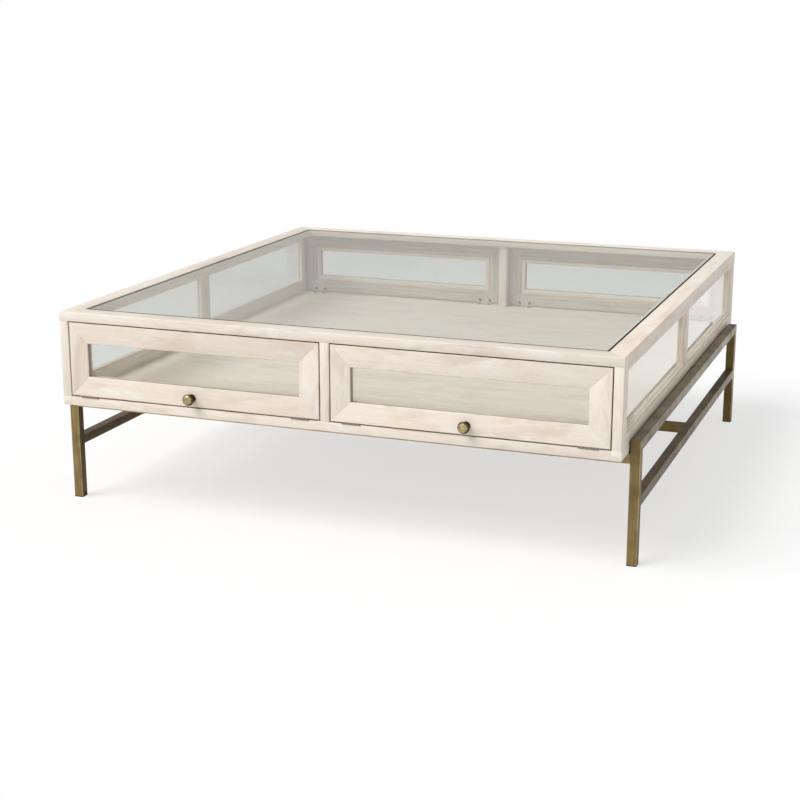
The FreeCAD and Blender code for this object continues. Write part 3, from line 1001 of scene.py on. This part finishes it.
def door_leaf(shape, middle, foot, turn):
    """Leaf on the back of a door, bent under its foot, with the middle knuckle."""
    under = foot - leaf_thickness
    back_face = turn @ Matrix.Translation(Vector((middle, door_back, under)))
    upright = placing(Vector((0, leaf_thickness, 0)), right_way, up_way, -back_way)
    rounded_plate(shape, hinge_length, leaf_upstand + leaf_thickness, leaf_corner,
                  back_face @ upright)
    first = middle - hinge_length / 2
    strap(shape, Vector((first, start_y, under)),
          Vector((first + hinge_length, door_back + leaf_fold_lap, foot)), turn)
    start = first + third + knuckle_end_gap
    end = first + 2 * third - knuckle_end_gap
    strap(shape, Vector((start, tongue_y, under)), Vector((end, start_y, foot)), turn)
    knuckle(shape, start, end, turn)


def floor_leaf(shape, middle, turn):
    """Leaf on the floor of the case, with the two outer knuckles."""
    flat = placing(Vector((middle, start_y, floor_top)), right_way, back_way, up_way)
    rounded_plate(shape, hinge_length, door_back + leaf_on_floor - start_y, leaf_corner,
                  turn @ flat)
    first = middle - hinge_length / 2
    for start in (first, first + 2 * third):
        strap(shape, Vector((start, tongue_y, floor_top)),
              Vector((start + third, start_y, floor_top + leaf_thickness)), turn)
        knuckle(shape, start, start + third, turn)


def hinge_pin(shape, middle, turn):
    """Pin through the three knuckles of a hinge."""
    start = Vector((middle - hinge_length / 2, axis_y, axis_z))
    sections = [(0, 0), (pin_radius, 0), (pin_radius, hinge_length), (0, hinge_length)]
    place = turn @ Matrix.Translation(start) @ looking(right_way)
    turned_part(shape, sections, small_flats, place)


def leaf_screws(on_door, on_floor, middle, foot, turn):
    """Two slotted screws in each leaf of a hinge."""
    inward = turn.to_3x3() @ back_way
    for x in (middle - hinge_screw_spacing / 2, middle + hinge_screw_spacing / 2):
        seat = turn @ Vector((x, door_back + leaf_thickness, foot + door_screw_rise))
        slotted_head(on_door, hinge_screw_radius, hinge_screw_height, seat, inward,
                     screw_finish)
        seat = turn @ Vector((x, door_back + floor_screw_inset, floor_top + leaf_thickness))
        slotted_head(on_floor, hinge_screw_radius, hinge_screw_height, seat, up_way,
                     screw_finish)


def strike_disc(shape, low, high, turn):
    """Steel disc let into the top edge of a door."""
    seat = Vector(((low.x + high.x) / 2, (low.y + high.y) / 2, high.z - strike_depth))
    sections = [(0, 0), (strike_radius, 0), (strike_radius, strike_depth),
                (0, strike_depth + strike_proud)]
    turned_part(shape, sections, small_flats, turn @ Matrix.Translation(seat))


hinge_steel = plated_steel(
    "hinge_steel", hinge_grey, hinge_worn, metallic=0.75, roughness=0.34
)
dark_screw = plated_steel("dark_screw", screw_dark, screw_rubbed, metallic=0.8, roughness=0.38)
barrel_shaded_steel = plated_steel(
    "barrel_shaded_steel", barrel_shaded_taupe, barrel_shaded_rubbed, metallic=0.5, roughness=0.5
)
leaf_metals = [hinge_steel, dark_screw, barrel_shaded_steel]
floor_leaves = bmesh.new()
pins = bmesh.new()
for name, pair in door_pairs.items():
    low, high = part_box("door_" + name + "_frame")
    for door, turn in pair:
        fittings = bmesh.new()
        for middle in (low.x + hinge_inset, high.x - hinge_inset):
            door_leaf(fittings, middle, low.z, turn)
            floor_leaf(floor_leaves, middle, turn)
            hinge_pin(pins, middle, turn)
            leaf_screws(fittings, floor_leaves, middle, low.z, turn)
        strike_disc(fittings, low, high, turn)
        node = "door_" + door + "_fittings"
        finished(node + "_steel", fittings, leaf_metals, "hinge_steel", node)
finished("floor_leaves_steel", floor_leaves, leaf_metals, "hinge_steel", "hinge_floor_leaves")
finished("pins_steel", pins, [dark_screw], "hinge_steel", "hinge_pins")
give_finish("catch_magnets", plated_steel(
    "magnet_nickel", hinge_grey, hinge_worn, metallic=0.9, roughness=0.22
))

# Knobs: turned brass, crowned, on a slim stem and a round base, each held from inside
# by one machine screw. The crown is rubbed bright, and the rim and stem are painted dark:
# patina and painted shade.
knob_flats = 64
knob_head_radius = 0.012
knob_widest = 0.0162
knob_crown_height = 0.0068
knob_crown_steps = 14
# Base, neck and underside of the knob: the radius at each height above the door.
knob_foot = [
    (0.0, 0.0), (0.0085, 0.0), (0.0085, 0.0020), (0.0081, 0.0025), (0.0056, 0.0029),
    (0.0050, 0.0036), (0.0050, 0.0112), (0.0054, 0.0125), (0.0080, 0.0141), (0.0110, 0.0152),
]
knob_gold = (0.47, 0.375, 0.215, 1)
knob_olive = (0.29, 0.225, 0.115, 1)
knob_patina_shade_brown = (0.070, 0.048, 0.022, 1)
knob_screw_head_radius = 0.0045
knob_screw_head_height = 0.0022
knob_rise = 0.0185
knob_mottle_scale = 150.0
turning_scale = 1800.0
turning_relief = (0.08, 0.0001)
gold_range = (0.38, 0.66)
uneven_range = (0.2, 0.8, -0.08, 0.08)
patina_and_shade_edge = (0.64, 0.86)
knob_roughness = (0.30, 0.40)
knob_metallic = 0.92


def knob_brass():
    """Turned brass: bright on the crown, with rings of patina and painted shade toward the rim and
    stem.
    """
    material = new_material("knob_brass")
    place = add(material, "TexCoord").outputs["Object"]
    patina_and_shade = add(material, "Attribute", attribute_name="patina_and_shade").outputs["Fac"]
    mottle = noise(material, place, [knob_mottle_scale] * 3, detail=4.0, roughness=0.6)
    fine = noise(material, place, [turning_scale] * 3)
    gold = tint(material, ramp(material, mottle, *gold_range), knob_gold, knob_olive)
    shade = worked_out(material, "ADD", patina_and_shade, ramp(material, mottle, *uneven_range))
    # Brown painted toward the rim and over the stem: patina, and painted shade of the rim's side.
    dark = ramp(material, shade, *patina_and_shade_edge)
    return shown_by(material, add(material, "BsdfPrincipled", {
        "Base Color": tint(material, dark, gold, knob_patina_shade_brown),
        "Roughness": spread(material, mottle, *knob_roughness),
        "Metallic": knob_metallic, "Normal": relief(material, fine, *turning_relief),
    }))


knob_metal = knob_brass()
crown_turns = [math.pi / 2 * step / knob_crown_steps for step in range(knob_crown_steps)]
knob_crown = [
    (knob_head_radius * math.cos(turn), knob_widest + knob_crown_height * math.sin(turn))
    for turn in crown_turns
]
knob_profile = knob_foot + knob_crown + [(0.0, knob_widest + knob_crown_height)]
for name, pair in door_pairs.items():
    low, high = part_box("door_" + name + "_frame")
    for door, turn in pair:
        shape = bmesh.new()
        seat = Vector(((low.x + high.x) / 2, low.y, low.z + knob_rise))
        place = turn @ Matrix.Translation(seat) @ looking(-back_way)
        turned_part(shape, knob_profile, knob_flats, place)
        inner_seat = turn @ Vector((seat.x, high.y, seat.z))
        slotted_head(shape, knob_screw_head_radius, knob_screw_head_height, inner_seat,
                     turn.to_3x3() @ back_way, screw_finish)
        node = "door_" + door + "_knob"
        knob = finished(node + "_brass", shape, [knob_metal, hinge_steel], "antique_brass", node)
        own = [place.inverted() @ vert.co for vert in knob.data.vertices]
        patina_and_shade = [
            math.hypot(point.x, point.y) / knob_head_radius if point.z > knob_widest else 1.0
            for point in own
        ]
        knob.data.attributes.new("patina_and_shade", "FLOAT", "POINT").data.foreach_set("value", patina_and_shade)

# Base screws: dark steel screws with slotted crowned heads, three up through each beam
# into the floor panel, so that they hold the case on its base.
screw_head_radius = 0.0048
screw_head_height = 0.0026
beam_low, beam_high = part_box("base_beam_front")
screw_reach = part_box("base_screws")[1].x - screw_head_radius
screw_heads = bmesh.new()
for turn in (as_built, half_turn):
    for x in (-screw_reach, 0, screw_reach):
        seat = turn @ Vector((x, (beam_low.y + beam_high.y) / 2, beam_low.z))
        slotted_head(screw_heads, screw_head_radius, screw_head_height, seat, -up_way)
finished("base_screw_heads", screw_heads, [dark_screw], "screw_steel", "base_screws")

# Studio: a plain white floor, white surroundings and one broad soft lamp from the front
# left. The floor reads as white to the eye and keeps the table's shadow. A grey card
# stands far behind, out of sight, so that the glass and the metal keep some contrast.
floor_reach = 45.0
floor_seen = (1.0, 1.0, 1.0, 1)
floor_spread = (0.80, 0.79, 0.78, 1)
surround_white = (1.0, 1.0, 1.0, 1)
surround_light = 0.45
shadow_lift = 0.62
lamp_strength = 2.26
lamp_spread = math.radians(38)
lamp_azimuth = math.radians(-46)
lamp_elevation = math.radians(50)
card_grey = (0.25, 0.25, 0.25, 1)
card_low = Vector((-12.0, 7.0, 0.02))
card_high = Vector((7.0, 7.0, 6.5))
all_seen = ("Is Camera Ray", "Is Glossy Ray", "Is Transmission Ray")


def seen_by(material, rays):
    """1 for light that reaches the eye by one of these kinds of ray."""
    path = add(material, "LightPath")
    seen = path.outputs[rays[0]]
    for ray in rays[1:]:
        seen = worked_out(material, "MAXIMUM", seen, path.outputs[ray])
    return seen


floor_material = new_material("studio_floor")
floor_colour = tint(floor_material, seen_by(floor_material, all_seen), floor_spread, floor_seen)
floor_shade = add(floor_material, "BsdfDiffuse", {"Color": floor_colour})
floor_glow = add(floor_material, "Emission", {"Color": floor_seen, "Strength": 1.0})
lifted = seen_by(floor_material, ("Is Camera Ray", "Is Transmission Ray"))
floor_shader = add(floor_material, "MixShader", {
    0: times(floor_material, lifted, shadow_lift), 1: floor_shade.outputs[0],
    2: floor_glow.outputs[0],
})
shown_by(floor_material, floor_shader)
floor_shape = bmesh.new()
bmesh.ops.create_grid(floor_shape, x_segments=1, y_segments=1, size=floor_reach)
floor_mesh = bpy.data.meshes.new("studio_floor")
floor_shape.to_mesh(floor_mesh)
floor_shape.free()
floor_mesh.materials.append(floor_material)
link(bpy.data.objects.new("studio_floor", floor_mesh))

world = bpy.data.worlds.new("studio")
world.use_nodes = True
world.node_tree.nodes.clear()
strength = add(world, "MapRange", {
    "Value": seen_by(world, all_seen), "To Min": surround_light, "To Max": 1.0,
})
surround = add(world, "Background", {"Color": surround_white, "Strength": strength.outputs[0]})
add(world, "OutputWorld", {"Surface": surround.outputs[0]})
bpy.context.scene.world = world

card_material = new_material("grey_card")
shown_by(card_material, add(card_material, "BsdfDiffuse", {"Color": card_grey}))
card_mesh = bpy.data.meshes.new("grey_card")
card_mesh.from_pydata([
    card_low, (card_high.x, card_low.y, card_low.z),
    card_high, (card_low.x, card_low.y, card_high.z),
], [], [(0, 1, 2, 3)])
card_mesh.materials.append(card_material)
card = link(bpy.data.objects.new("grey_card", card_mesh))
card.visible_camera = False
card.visible_diffuse = False
card.visible_transmission = False
card.visible_shadow = False

lamp = bpy.data.lights.new("key_lamp", "SUN")
lamp.energy = lamp_strength
lamp.angle = lamp_spread
key = link(bpy.data.objects.new("key_lamp", lamp))
towards = Vector((
    math.sin(lamp_azimuth) * math.cos(lamp_elevation),
    -math.cos(lamp_azimuth) * math.cos(lamp_elevation),
    math.sin(lamp_elevation),
))
key.rotation_mode = "QUATERNION"
key.rotation_quaternion = towards.to_track_quat("Z", "Y")

# Camera: where the photograph's perspective puts it, to the right of the front and
# above the top. It has no shift, so that the other views stay framed.
camera_place = Vector((1.1883, -3.3711, 1.0785))
camera_yaw = math.radians(20.50)
camera_pitch = math.radians(14.82)
camera_lens = 72.15
camera_sensor = 36.0
camera = bpy.data.cameras.new("camera")
camera.lens = camera_lens
camera.sensor_width = camera_sensor
viewer = link(bpy.data.objects.new("camera", camera))
viewer.location = camera_place
viewer.rotation_euler = (math.pi / 2 - camera_pitch, 0, camera_yaw)
bpy.context.scene.camera = viewer
bpy.context.scene.view_settings.view_transform = "Standard"
